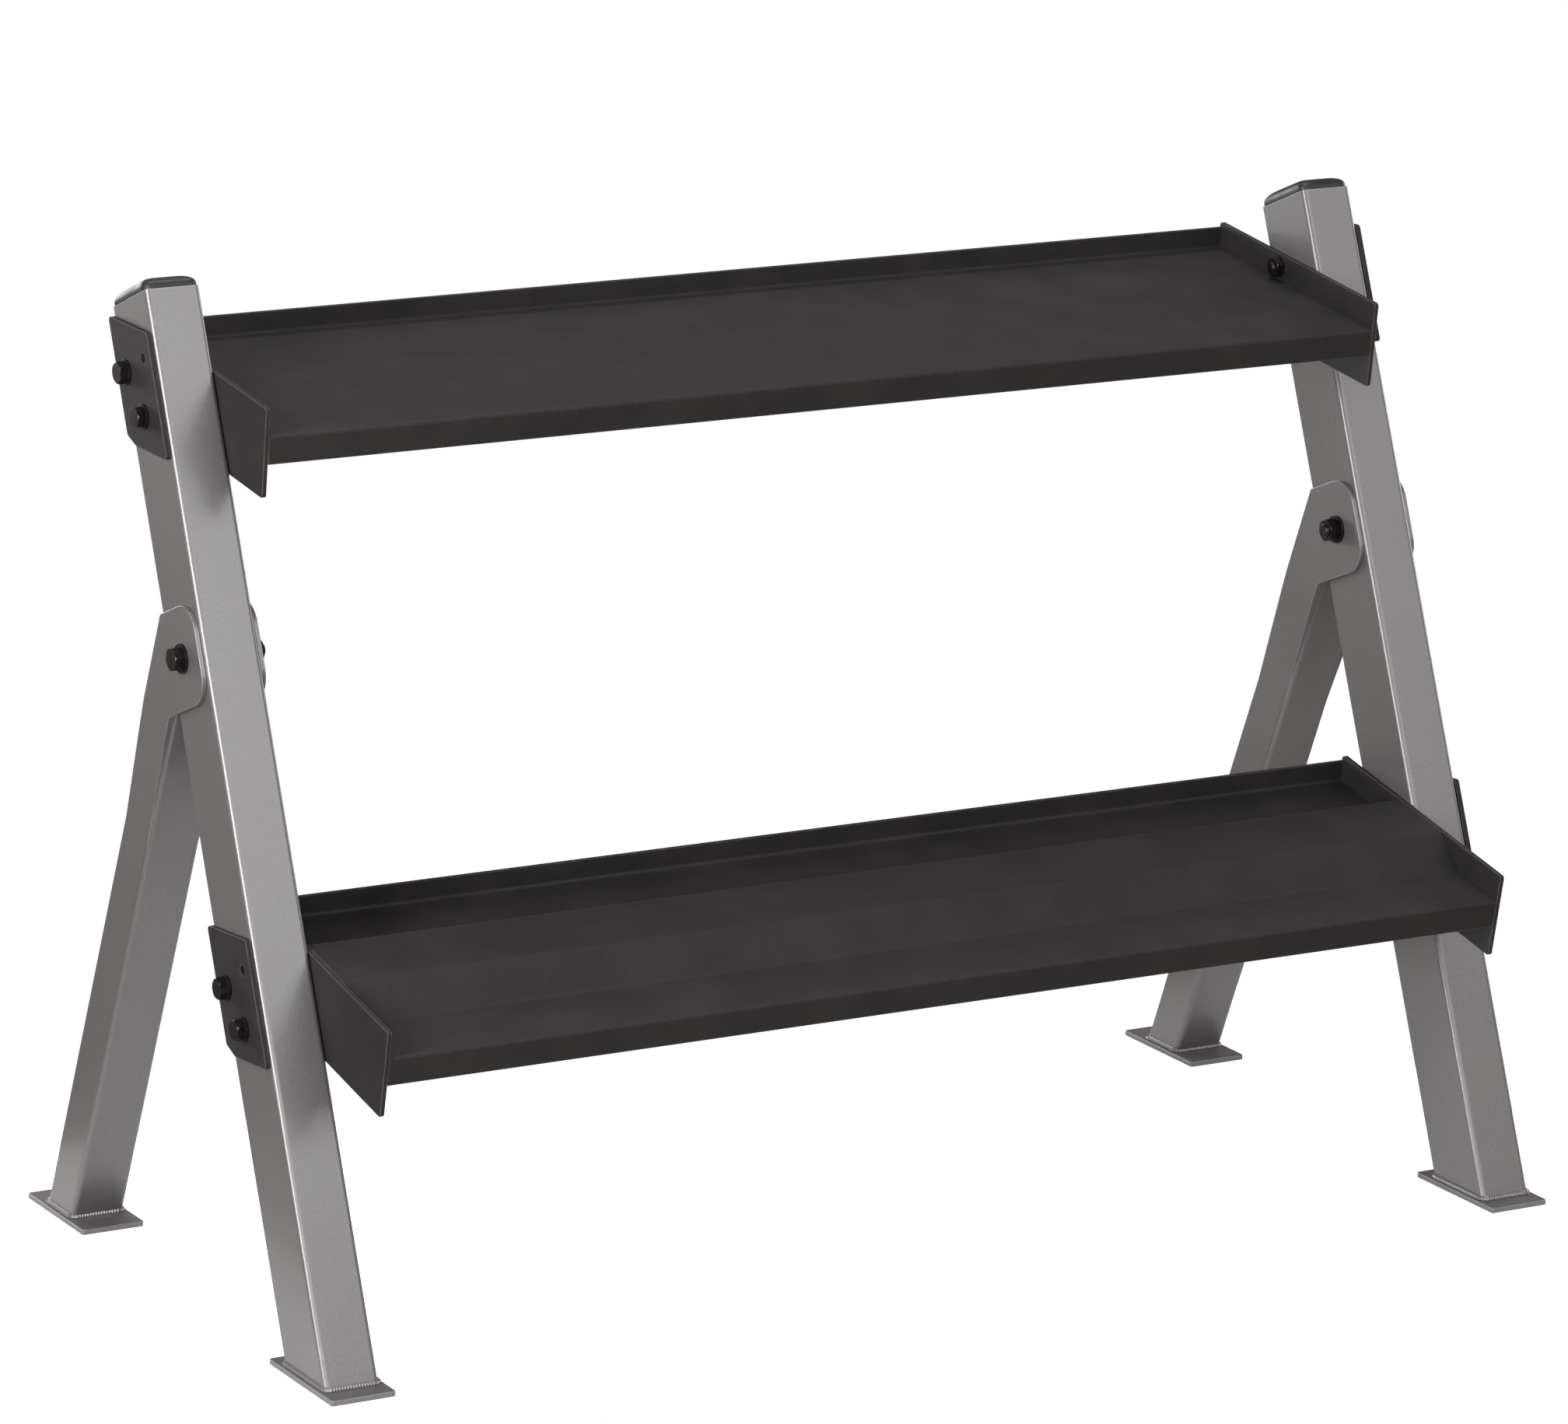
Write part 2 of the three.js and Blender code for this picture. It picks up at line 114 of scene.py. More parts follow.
# Bolt sizes in millimetres, without MM.
SHELF_BOLT = {"radius": 5, "flats": 17, "head": 7, "washer": 11, "washer_thickness": 2, "nut": 8}
LAP_BOLT = {"radius": 6, "flats": 19, "head": 8, "washer": 13, "washer_thickness": 2.4, "nut": 10}
PLAY = 0.5 * MM               # round a bolt in its hole, or a cap's skirt in the tube
SHELF_BOLT_HOLE = SHELF_BOLT["radius"] * MM + PLAY
LAP_BOLT_HOLE = LAP_BOLT["radius"] * MM + PLAY
THREAD_PITCH = 1.5 * MM
THREAD_TURNS = 4              # shown at the bolt's end
THREAD_ROOT = 0.84            # share of the bolt's width
HEX_CHAMFER = 1.4 * MM
DRILL = 20 * MM               # long enough for one plate
NEAR = 0.01 * MM              # closer than this is the same place


# ---- Camera, light and floor ---------------------------------------------------------------

CAMERA_AZIMUTH = radians(-29.142)
CAMERA_ELEVATION = radians(13.956)
CAMERA_ROLL = radians(0.760)
CAMERA_DISTANCE = 6.4936
CAMERA_TARGET = Vector((-0.04024, -0.04994, 0.47511))
CAMERA_LENS = 168.0
SENSOR_WIDTH = 36.0
FLOOR_SIZE = (1.5, 0.9)
RACK_MIDDLE = Vector((0, 0, 0.45))


def turned_camera(azimuth, elevation, roll):
    back = Vector((sin(azimuth) * cos(elevation), -cos(azimuth) * cos(elevation), sin(elevation)))
    level = Vector((cos(azimuth), sin(azimuth), 0))
    upward = back.cross(level)
    right = level * cos(roll) + upward * sin(roll)
    up = upward * cos(roll) - level * sin(roll)
    return Matrix((right, up, back)).transposed().to_4x4()


def make_camera():
    data = bpy.data.cameras.new("camera")
    data.sensor_fit = "HORIZONTAL"
    data.sensor_width = SENSOR_WIDTH
    data.lens = CAMERA_LENS
    camera = bpy.data.objects.new("camera", data)
    bpy.context.scene.collection.objects.link(camera)
    turn = turned_camera(CAMERA_AZIMUTH, CAMERA_ELEVATION, CAMERA_ROLL)
    away = turn.to_3x3() @ Vector((0, 0, CAMERA_DISTANCE))
    camera.matrix_world = Matrix.Translation(CAMERA_TARGET + away) @ turn
    bpy.context.scene.camera = camera


def softbox(name, place, size, power, colour=(1, 1, 1)):
    """A rectangular lamp aimed at the middle of the rack."""
    data = bpy.data.lights.new(name, "AREA")
    data.shape = "RECTANGLE"
    data.size, data.size_y = size
    data.energy = power
    data.color = colour
    lamp = bpy.data.objects.new(name, data)
    bpy.context.scene.collection.objects.link(lamp)
    lamp.location = place
    lamp.rotation_euler = (RACK_MIDDLE - Vector(place)).to_track_quat("-Z", "Y").to_euler()


def light_studio():
    """Soft light from all round, strongest from the front, a narrow strip on the left that draws
    the lit line down the tubes' corners, and a white room whose light is dimmer behind the rack."""
    softbox("key_softbox", (1.3, -4.8, 3.2), (5.2, 2.2), 116, (0.94, 0.97, 1.0))
    softbox("fill_softbox", (-2.4, -4.2, 1.4), (1.6, 1.6), 50)
    softbox("back_softbox", (-0.8, 4.4, 1.0), (3.0, 1.4), 95)
    softbox("side_softbox", (3.8, 0.8, 1.2), (2.2, 1.8), 50)
    softbox("edge_strip", (-2.73, -0.975, 1.26), (0.18, 1.8), 85)
    softbox("top_softbox", (0, 0.6, 4.0), (3.0, 2.0), 75)
    world = bpy.data.worlds.new("studio")
    world.use_nodes = True
    tree = world.node_tree
    background = tree.nodes["Background"]
    towards = add(tree, "TexCoord").outputs["Generated"]
    depth = add(tree, "SeparateXYZ", [("Vector", towards)]).outputs["Y"]
    dimmed = spread(tree, depth, -0.4, 0.5, 0.42, 0.18)
    seen = add(tree, "LightPath").outputs["Is Camera Ray"]
    strength = add(tree, "Math", [(0, dimmed), (1, seen)], operation="MAXIMUM").outputs[0]
    tree.links.new(blended(tree, seen, linear("fff0ec"), linear("ffffff")), background.inputs["Color"])
    tree.links.new(strength, background.inputs["Strength"])
    bpy.context.scene.world = world
    bpy.context.scene.view_settings.view_transform = "Standard"


# ---- Materials -----------------------------------------------------------------------------

def linear(hex_colour):
    """sRGB hex, such as "8f8f90", to a linear colour."""
    channels = [int(hex_colour[i:i + 2], 16) / 255 for i in (0, 2, 4)]
    return [c / 12.92 if c <= 0.04045 else ((c + 0.055) / 1.055) ** 2.4 for c in channels] + [1]


def add(tree, kind, inputs=(), **settings):
    """Adds a node. inputs are (socket, value or output socket) pairs."""
    node = tree.nodes.new("ShaderNode" + kind)
    for key, value in settings.items():
        setattr(node, key, value)
    for socket, value in inputs:
        if isinstance(value, bpy.types.NodeSocket):
            tree.links.new(value, node.inputs[socket])
        else:
            node.inputs[socket].default_value = value
    return node


def new_material(name):
    material = bpy.data.materials.new(name)
    material.use_nodes = True
    tree = material.node_tree
    shader = tree.nodes["Principled BSDF"]
    place = add(tree, "TexCoord").outputs["Object"]
    return material, tree, shader, place


def blended(tree, factor, first, second):
    """Mix of two colours, by a factor socket."""
    node = add(tree, "Mix", [(0, factor)], data_type="RGBA")
    for socket, colour in ((6, first), (7, second)):
        if isinstance(colour, bpy.types.NodeSocket):
            tree.links.new(colour, node.inputs[socket])
        else:
            node.inputs[socket].default_value = colour
    return node.outputs[2]


def spread(tree, value, low, high, to_low, to_high):
    """Maps low..high onto to_low..to_high, and holds it there."""
    ranges = [("From Min", low), ("From Max", high), ("To Min", to_low), ("To Max", to_high)]
    return add(tree, "MapRange", [("Value", value), *ranges]).outputs["Result"]


def noise(tree, place, size, detail):
    """Noise whose cells are about that size."""
    node = add(tree, "TexNoise", [("Vector", place), ("Scale", 1 / size), ("Detail", detail)])
    return node.outputs["Fac"]


def roughen(tree, shader, height, strength, distance):
    """Gives a surface fine relief."""
    bump = add(tree, "Bump", [("Height", height), ("Strength", strength), ("Distance", distance)])
    tree.links.new(bump.outputs["Normal"], shader.inputs["Normal"])


def edge_mask(tree, radius):
    """1 on corners and edges, 0 on flats: how far the rounded normal turns from the real one."""
    rounded = add(tree, "Bevel", [("Radius", radius)], samples=4).outputs["Normal"]
    real = add(tree, "NewGeometry").outputs["Normal"]
    match = add(tree, "VectorMath", [(0, rounded), (1, real)], operation="DOT_PRODUCT").outputs["Value"]
    return spread(tree, match, 0.80, 0.985, 1, 0)


def silver_powder_coat():
    """Metallic silver-grey powder coat, baked on the tube: a soft grey sheen, fine flake and a
    faint orange peel, with a lighter tone painted on the corners: partly the coat worn thin there,
    partly a painted highlight."""
    material, tree, shader, place = new_material("silver_powder_coat")
    # Real flake is about 0.1 mm, too fine to show, so it is drawn at 1.2 mm.
    flake = noise(tree, place, 1.2 * MM, 3)
    cloud = noise(tree, place, 70 * MM, 2)
    tone = blended(tree, spread(tree, flake, 0.35, 0.65, 0, 1), linear("6a6969"), linear("7a7979"))
    drift = blended(tree, spread(tree, cloud, 0.35, 0.65, 0, 0.35), tone, linear("726f6e"))
    # Painted highlight: the corners are painted half way to light grey, partly also for wear.
    lighter_edges = blended(tree, spread(tree, edge_mask(tree, 2.2 * MM), 0, 1, 0, 0.5), drift, linear("b2b1b1"))
    tree.links.new(lighter_edges, shader.inputs["Base Color"])
    shader.inputs["Metallic"].default_value = 0.55
    tree.links.new(spread(tree, flake, 0.3, 0.7, 0.36, 0.46), shader.inputs["Roughness"])
    shader.inputs["Coat Weight"].default_value = 0.3
    shader.inputs["Coat Roughness"].default_value = 0.16
    # Orange peel of sprayed powder: waves about 3 mm long.
    roughen(tree, shader, noise(tree, place, 3 * MM, 1), 0.12, 0.15 * MM)
    return material


def black_powder_coat():
    """Fine-texture black powder coat on sheet steel: charcoal, satin, with a fine grit, and
    edges painted lighter in patches: partly rubbed by the weights, partly a painted highlight."""
    material, tree, shader, place = new_material("black_texture_powder_coat")
    grit = noise(tree, place, 1.1 * MM, 4)
    smudge = noise(tree, place, 60 * MM, 4)
    tone = blended(tree, spread(tree, grit, 0.35, 0.65, 0, 1), linear("1b1a1a"), linear("272525"))
    drift = blended(tree, spread(tree, smudge, 0.4, 0.7, 0, 0.4), tone, linear("302d2d"))
    # Edges painted lighter in patches, partly wear from the weights and partly a painted highlight.
    edge_patches = spread(tree, noise(tree, place, 14 * MM, 3), 0.3, 0.7, 0.35, 0.8)
    wear_and_highlight = add(tree, "Math", [(0, edge_mask(tree, 1.6 * MM)), (1, edge_patches)], operation="MULTIPLY")
    lighter_edges = blended(tree, wear_and_highlight.outputs[0], drift, linear("7d7472"))
    tree.links.new(lighter_edges, shader.inputs["Base Color"])
    shader.inputs["Specular IOR Level"].default_value = 0.25
    tree.links.new(spread(tree, smudge, 0.3, 0.7, 0.58, 0.7), shader.inputs["Roughness"])
    roughen(tree, shader, grit, 0.35, 0.12 * MM)
    return material


def black_oxide_steel():
    """Black oxide on bolts, nuts and washers: near black, oily and half glossy, rubbed to bare
    grey on the corners of the hexagons."""
    material, tree, shader, place = new_material("black_oxide_steel")
    stain = noise(tree, place, 4 * MM, 4)
    tone = blended(tree, spread(tree, stain, 0.35, 0.65, 0, 1), linear("1c1b1c"), linear("2c2826"))
    lighter_edges = blended(tree, spread(tree, edge_mask(tree, 0.6 * MM), 0, 1, 0, 0.45), tone, linear("6a6664"))
    tree.links.new(lighter_edges, shader.inputs["Base Color"])
    shader.inputs["Metallic"].default_value = 0.75
    tree.links.new(spread(tree, stain, 0.3, 0.7, 0.3, 0.46), shader.inputs["Roughness"])
    roughen(tree, shader, stain, 0.1, 0.1 * MM)
    return material


def moulded_polythene():
    """Low-density polythene tube cap, injection moulded: dull black with a spark-eroded grain."""
    material, tree, shader, place = new_material("moulded_polythene")
    grain = noise(tree, place, 0.9 * MM, 3)
    bloom = noise(tree, place, 18 * MM, 2)
    tone = blended(tree, spread(tree, bloom, 0.35, 0.65, 0, 1), linear("121111"), linear("1a1919"))
    tree.links.new(tone, shader.inputs["Base Color"])
    shader.inputs["IOR"].default_value = 1.51
    tree.links.new(spread(tree, bloom, 0.3, 0.7, 0.42, 0.55), shader.inputs["Roughness"])
    roughen(tree, shader, grain, 0.3, 0.1 * MM)
    return material


# ---- Modelling -----------------------------------------------------------------------------

def take(piece):
    """Makes a piece the only one selected."""
    bpy.ops.object.select_all(action="DESELECT")
    piece.select_set(True)
    bpy.context.view_layer.objects.active = piece


def called(name):
    """The primitive just added, with its size and place applied, under its own name."""
    piece = bpy.context.object
    piece.name = name
    piece.data.name = name
    take(piece)
    bpy.ops.object.transform_apply(location=True, rotation=True, scale=True)
    return piece


def sketch(piece):
    take(piece)
    bpy.ops.object.mode_set(mode="EDIT")


def finish_sketch():
    bpy.ops.mesh.select_all(action="SELECT")
    bpy.ops.mesh.normals_make_consistent(inside=False)
    bpy.ops.object.mode_set(mode="OBJECT")


def choose(kind, test):
    """In edit mode, selects the vertices, edges or faces that pass the test."""
    bpy.ops.mesh.select_mode(type=kind)
    bpy.ops.mesh.select_all(action="DESELECT")
    mesh = bpy.context.edit_object.data
    shape = bmesh.from_edit_mesh(mesh)
    items = {"VERT": shape.verts, "EDGE": shape.edges, "FACE": shape.faces}[kind]
    for item in items:
        if test(item):
            item.select_set(True)
    shape.select_flush_mode()
    bmesh.update_edit_mesh(mesh)


def runs_along(edge, axis):
    span = edge.verts[1].co - edge.verts[0].co
    return abs(span[axis]) > 0.999 * span.length


def modify(piece, kind, **settings):
    """Adds a modifier and applies it."""
    take(piece)
    modifier = piece.modifiers.new(kind, kind)
    for key, value in settings.items():
        setattr(modifier, key, value)
    bpy.ops.object.modifier_apply(modifier=modifier.name)


def soften(piece, width, angle=50, segments=3):
    """Rounds the sharp edges, then shades the piece smooth with flat flats."""
    modify(piece, "BEVEL", width=width, segments=segments, limit_method="ANGLE", angle_limit=radians(angle))
    shade(piece)


def shade(piece):
    take(piece)
    bpy.ops.object.shade_smooth_by_angle(angle=radians(40))
    modify(piece, "WEIGHTED_NORMAL", keep_sharp=True, weight=100)


def settle(piece, tilt):
    """Carries a piece from a tilted frame to the rack's own, and applies its place."""
    piece.matrix_world = tilt
    take(piece)
    bpy.ops.object.transform_apply(location=True, rotation=True, scale=True)


def slice_off(piece, point, normal, fill):
    """Cuts away what lies on the normal's side of a plane."""
    sketch(piece)
    bpy.ops.mesh.select_all(action="SELECT")
    bpy.ops.mesh.bisect(plane_co=point, plane_no=normal, use_fill=fill, clear_outer=True)
    bpy.ops.object.mode_set(mode="OBJECT")


def combine(piece, other, operation):
    modify(piece, "BOOLEAN", object=other, operation=operation, solver="EXACT")
    bpy.data.objects.remove(other)


def drill(piece, place, radius, length):
    """A round hole along X."""
    bpy.ops.mesh.primitive_cylinder_add(
        vertices=40, radius=radius, depth=length, location=place, rotation=(0, pi / 2, 0))
    combine(piece, called("drill"), "DIFFERENCE")


def tilted(y, z, angle):
    """A frame with its origin at (0, y, z), turned about X."""
    return Matrix.Translation((0, y, z)) @ Matrix.Rotation(angle, 4, "X")


def side_point(source, target, y, z):
    """A point of one frame's side view, in another frame's."""
    point = target.inverted() @ source @ Vector((0, y, z))
    return point.y, point.z


def plate(name, corners, x_low, x_high):
    """A flat plate across X, drawn in side view. A corner is (y, z, radius)."""
    count = len(corners)
    bpy.ops.mesh.primitive_circle_add(vertices=count, radius=1, fill_type="NGON")
    piece = called(name)
    sketch(piece)
    for i, (y, z, _) in enumerate(corners):
        choose("VERT", lambda vertex: vertex.index == i)
        start = bmesh.from_edit_mesh(piece.data).verts
        start.ensure_lookup_table()
        bpy.ops.transform.translate(value=Vector((x_low, y, z)) - start[i].co)
    for i, (y, z, radius) in enumerate(corners):
        if radius == 0:
            continue
        corner = Vector((x_low, y, z))
        arms = [Vector((0, *corners[j % count][:2])) - Vector((0, y, z)) for j in (i - 1, i + 1)]
        reach = radius / tan(arms[0].angle(arms[1]) / 2)
        choose("VERT", lambda vertex: (vertex.co - corner).length < NEAR)
        bpy.ops.mesh.bevel(offset=reach, segments=8, affect="VERTICES")
    bpy.ops.mesh.select_mode(type="FACE")
    bpy.ops.mesh.select_all(action="SELECT")
    bpy.ops.mesh.extrude_region_move(TRANSFORM_OT_translate={"value": (x_high - x_low, 0, 0)})
    finish_sketch()
    return piece


def tube(name, depth, low, high, x_middle):
    """Rectangular tube along Z, its front face on y = 0 and its ends open."""
    bpy.ops.mesh.primitive_cube_add(
        size=1, location=(x_middle, depth / 2, (low + high) / 2), scale=(TUBE_WIDTH, depth, high - low))
    piece = called(name)
    sketch(piece)
    choose("EDGE", lambda edge: runs_along(edge, 2))
    bpy.ops.mesh.bevel(offset=TUBE_CORNER, segments=6, affect="EDGES")
    choose("FACE", lambda face: abs(face.normal.z) > 0.9)
    bpy.ops.mesh.delete(type="ONLY_FACE")
    finish_sketch()
    return piece


def folded_sheet(name, path, x_low, x_high):
    """Sheet steel folded along X. The path is its upper face in side view, from the front."""
    bpy.ops.mesh.primitive_plane_add(size=1)
    piece = called(name)
    sketch(piece)
    ends = [(x_low, path[0]), (x_high, path[0]), (x_low, path[1]), (x_high, path[1])]
    for i, (x, (y, z)) in enumerate(ends):
        choose("VERT", lambda vertex: vertex.index == i)
        start = bmesh.from_edit_mesh(piece.data).verts
        start.ensure_lookup_table()
        bpy.ops.transform.translate(value=Vector((x, y, z)) - start[i].co)
    for (y, z), (next_y, next_z) in zip(path[1:], path[2:]):
        last = Vector((0, y, z))
        choose("EDGE", lambda edge: edge_lies_at(edge, last))
        bpy.ops.mesh.extrude_edges_move(TRANSFORM_OT_translate={"value": (0, next_y - y, next_z - z)})
    bends = [Vector((0, y, z)) for y, z in path[1:-1]]
    choose("EDGE", lambda edge: any(edge_lies_at(edge, bend) for bend in bends))
    bpy.ops.mesh.bevel(offset=BEND, segments=6, affect="EDGES")
    finish_sketch()
    flattest = max(piece.data.polygons, key=lambda face: face.area * abs(face.normal.z))
    if flattest.normal.z < 0:
        piece.data.flip_normals()
    modify(piece, "SOLIDIFY", thickness=SHEET, offset=-1, use_even_offset=True)
    return piece


def edge_lies_at(edge, place):
    """Whether an edge runs along X through a place in the side view."""
    middle = (edge.verts[0].co + edge.verts[1].co) / 2
    return runs_along(edge, 0) and (middle - place).yz.length < NEAR


def copied(source, name, matrix):
    piece = source.copy()
    piece.data = source.data.copy()
    piece.name = name
    bpy.context.scene.collection.objects.link(piece)
    settle(piece, matrix)
    return piece


def show(piece, material, slot, *nodes):
    """Gives a finished piece its material and puts it in the place of the CAD nodes."""
    piece.data.materials.clear()
    piece.data.materials.append(material)
    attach(piece, "root")
    if nodes:
        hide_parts(*nodes)


# ---- Frames --------------------------------------------------------------------------------

def middle_of(node):
    low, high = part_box(node)
    return (low + high) / 2


def upright_tilt():
    low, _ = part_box("upright_left")
    return tilted(low.y - low.z * tan(UPRIGHT_LEAN), 0, -UPRIGHT_LEAN)


def leg_tilt():
    low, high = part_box("rear_leg_left")
    rear_at_floor = high.y + low.z * tan(LEG_LEAN)
    return tilted(rear_at_floor - LEG_DEPTH / cos(LEG_LEAN), 0, LEG_LEAN)


def shelf_tilt(level):
    """Origin at the front top corner of the shelf's end plates."""
    tilt = SHELF_TILT[level]
    low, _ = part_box(f"{level}_tray")
    y = low.y + TRAY_FLOOR * sin(tilt)
    z = low.z - (TRAY_FLOOR - FRONT_LIP) * cos(tilt)
    return tilted(y, z, tilt)


UPRIGHT = upright_tilt()
LEG = leg_tilt()
SHELF = {level: shelf_tilt(level) for level in SHELF_TILT}
X_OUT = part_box("upright_right")[1].x      # outer face of the uprights
FOOT_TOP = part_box("upright_left")[0].z


def bolt_place(node):
    """A bolt's axis in the upright's side view."""
    middle = middle_of(node)
    return side_point(Matrix(), UPRIGHT, middle.y, middle.z)


# ---- Ends ----------------------------------------------------------------------------------

def make_upright(name, side, paint):
    x = middle_of(f"upright_{name}").x
    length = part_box(f"upright_{name}")[1].z / cos(UPRIGHT_LEAN)
    piece = tube(f"upright_tube_{name}", UPRIGHT_DEPTH, -TUBE_STUB, length, x)
    settle(piece, UPRIGHT)
    slice_off(piece, (0, 0, FOOT_TOP), (0, 0, -1), False)
    modify(piece, "SOLIDIFY", thickness=TUBE_WALL, offset=-1, use_even_offset=True)
    for level in SHELF_TILT:
        for place in ("rear", "front"):
            middle = middle_of(f"bolt_{level}_{place}_{name}")
            drill(piece, (x, middle.y, middle.z), SHELF_BOLT_HOLE, 2 * TUBE_WIDTH)
        s = bracket_top(level) - BRACKET[level]["spare_hole"]
        spot = UPRIGHT @ Vector((side * X_OUT, SPARE_HOLE_T, s))
        drill(piece, spot, SPARE_HOLE_RADIUS, 4 * TUBE_WALL)
    middle = middle_of(f"lap_bolt_{name}")
    drill(piece, (x, middle.y, middle.z), LAP_BOLT_HOLE, 2 * TUBE_WIDTH)
    soften(piece, 0.5 * MM, segments=2)
    show(piece, paint, "frame_silver", f"upright_{name}")


def bracket_top(level):
    """How far up the upright the front top corner of a bracket is."""
    return bolt_place(f"bolt_{level}_rear_left")[1] + BRACKET[level]["rear_bolt"]


def leg_face_at(depth, s):
    """Where the leg's face at that depth crosses height s of the upright."""
    low_t, low_s = side_point(LEG, UPRIGHT, depth, 0)
    high_t, high_s = side_point(LEG, UPRIGHT, depth, 1)
    share = (s - low_s) / (high_s - low_s)
    return low_t + share * (high_t - low_t), s


def cheek_outlines():
    """Side views, on the upright: the whole cheek, and its root on the side of the leg."""
    apex = leg_face_at(0, CHEEK_BOTTOM)
    rear_top = leg_face_at(LEG_DEPTH, CHEEK_TOP)
    tail = side_point(UPRIGHT, LEG, *apex)[1] - CHEEK_TAIL
    tail_front = side_point(LEG, UPRIGHT, TAIL_INSET, tail)
    tail_rear = side_point(LEG, UPRIGHT, LEG_DEPTH - TAIL_INSET, tail)
    whole = [
        (*rear_top, CHEEK_CORNERS["rear"]),
        (CHEEK_FRONT, CHEEK_TOP, CHEEK_CORNERS["top"]),
        (CHEEK_FRONT, CHEEK_BOTTOM, CHEEK_CORNERS["bottom"]),
        (*apex, CHEEK_CORNERS["crotch"]),
        (*tail_front, CHEEK_CORNERS["tail"]),
        (*tail_rear, CHEEK_CORNERS["tail"]),
    ]
    behind = UPRIGHT_DEPTH + 2 * GAP
    low = side_point(LEG, UPRIGHT, ROOT_INSET, tail + CHEEK_TAIL - ROOT_SHORT["crotch"])
    high = leg_face_at(LEG_DEPTH - ROOT_INSET, CHEEK_TOP - ROOT_SHORT["top"])
    root = [
        (max(high[0], behind), high[1], 0),
        (behind, CHEEK_BOTTOM + ROOT_SHORT["middle"], 0),
        (max(low[0], behind), low[1], 0),
        (*tail_front, 0),
        (*tail_rear, 0),
    ]
    return whole, root, tail


def make_leg(name, paint):
    """Rear leg with its two cheeks welded on and dressed flush."""
    x = middle_of(f"rear_leg_{name}").x
    piece = tube(f"rear_leg_and_cheeks_{name}", LEG_DEPTH, -TUBE_STUB, LEG_TOP, x)
    settle(piece, LEG)
    slice_off(piece, (0, 0, FOOT_TOP), (0, 0, -1), False)
    on_upright = UPRIGHT @ Vector((0, UPRIGHT_DEPTH + GAP, CHEEK_TOP))
    towards_upright = UPRIGHT.to_3x3() @ Vector((0, -1, 0))
    slice_off(piece, on_upright, towards_upright, False)
    modify(piece, "SOLIDIFY", thickness=TUBE_WALL, offset=-1, use_even_offset=True)
    whole, root, tail = cheek_outlines()
    for facing in (-1, 1):
        face = x + facing * TUBE_WIDTH / 2
        outer = face + facing * (GAP + CHEEK_THICKNESS)
        cheek = plate("cheek", whole, face + facing * GAP, outer)
        settle(cheek, UPRIGHT)
        middle = middle_of(f"lap_bolt_{name}")
        drill(cheek, (outer, middle.y, middle.z), LAP_BOLT_HOLE, 4 * CHEEK_THICKNESS)
        modify(cheek, "BEVEL", width=CHEEK_EDGE, segments=3, limit_method="ANGLE", angle_limit=radians(50))
        base = plate("cheek_root", root, face - facing * ROOT_DEPTH, outer - facing * CHEEK_EDGE)
        settle(base, UPRIGHT)
        combine(cheek, base, "UNION")
        feather(cheek, face, outer, facing, tail)
        combine(piece, cheek, "UNION")
    soften(piece, 0.4 * MM, segments=2)
    nodes = [f"rear_leg_{name}", f"lap_cheek_outer_{name}", f"lap_cheek_inner_{name}"]
    show(piece, paint, "frame_silver", *nodes)


def feather(cheek, face, outer, facing, tail):
    """Dresses the tail down from the cheek's full thickness to the side of the leg."""
    start = LEG @ Vector((outer, 0, tail + CHEEK_TAIL - TAIL_FULL))
    end = LEG @ Vector((face - facing * TAIL_FADE, 0, tail))
    down = end - start
    across = LEG.to_3x3() @ Vector((0, 1, 0))
    normal = down.cross(across).normalized()
    if normal.x * facing < 0:
        normal = -normal
    slice_off(cheek, start, normal, True)


def make_foot(place, name, paint):
    low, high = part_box(f"{place}_foot_{name}")
    middle = (low + high) / 2
    bpy.ops.mesh.primitive_cube_add(size=1, location=middle, scale=high - low)
    piece = called(f"{place}_foot_plate_{name}")
    sketch(piece)
    choose("EDGE", lambda edge: runs_along(edge, 2))
    bpy.ops.mesh.bevel(offset=FOOT_CORNER, segments=5, affect="EDGES")
    finish_sketch()
    soften(piece, 0.7 * MM)
    show(piece, paint, "frame_silver", f"{place}_foot_{name}")


def make_foot_weld(place, name, paint):
    """The fillet weld round the foot of a tube, rippled as the weld pool was moved along."""
    x = middle_of(f"{place}_foot_{name}").x
    if place == "front":
        front = (UPRIGHT @ Vector((0, 0, 0))).y + FOOT_TOP * tan(UPRIGHT_LEAN)
        depth = UPRIGHT_DEPTH / cos(UPRIGHT_LEAN)
    else:
        front = (LEG @ Vector((0, 0, 0))).y - FOOT_TOP * tan(LEG_LEAN)
        depth = LEG_DEPTH / cos(LEG_LEAN)
    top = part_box(f"{place}_foot_{name}")[1].z
    bpy.ops.mesh.primitive_plane_add(size=1, location=(x, front + depth / 2, top + 0.4 * WELD_BEAD))
    bpy.context.object.scale = (TUBE_WIDTH, depth, 1)
    piece = called(f"{place}_foot_weld_{name}")
    sketch(piece)
    bpy.ops.mesh.select_all(action="SELECT")
    bpy.ops.mesh.bevel(offset=TUBE_CORNER, segments=4, affect="VERTICES")
    choose("EDGE", lambda edge: edge.calc_length() > 4 * TUBE_CORNER)
    bpy.ops.mesh.subdivide(number_cuts=WELD_CUTS)
    bpy.ops.mesh.select_all(action="SELECT")
    bpy.ops.mesh.delete(type="ONLY_FACE")
    bpy.ops.object.mode_set(mode="OBJECT")
    take(piece)
    bpy.ops.object.convert(target="CURVE")
    piece = bpy.context.object
    piece.data.bevel_depth = WELD_BEAD
    piece.data.bevel_resolution = 2
    for i, point in enumerate(piece.data.splines[0].points):
        point.radius = 1.0 - WELD_RIPPLE * (i % 2)
    bpy.ops.object.convert(target="MESH")
    piece = bpy.context.object
    shade(piece)
    show(piece, paint, "frame_silver")


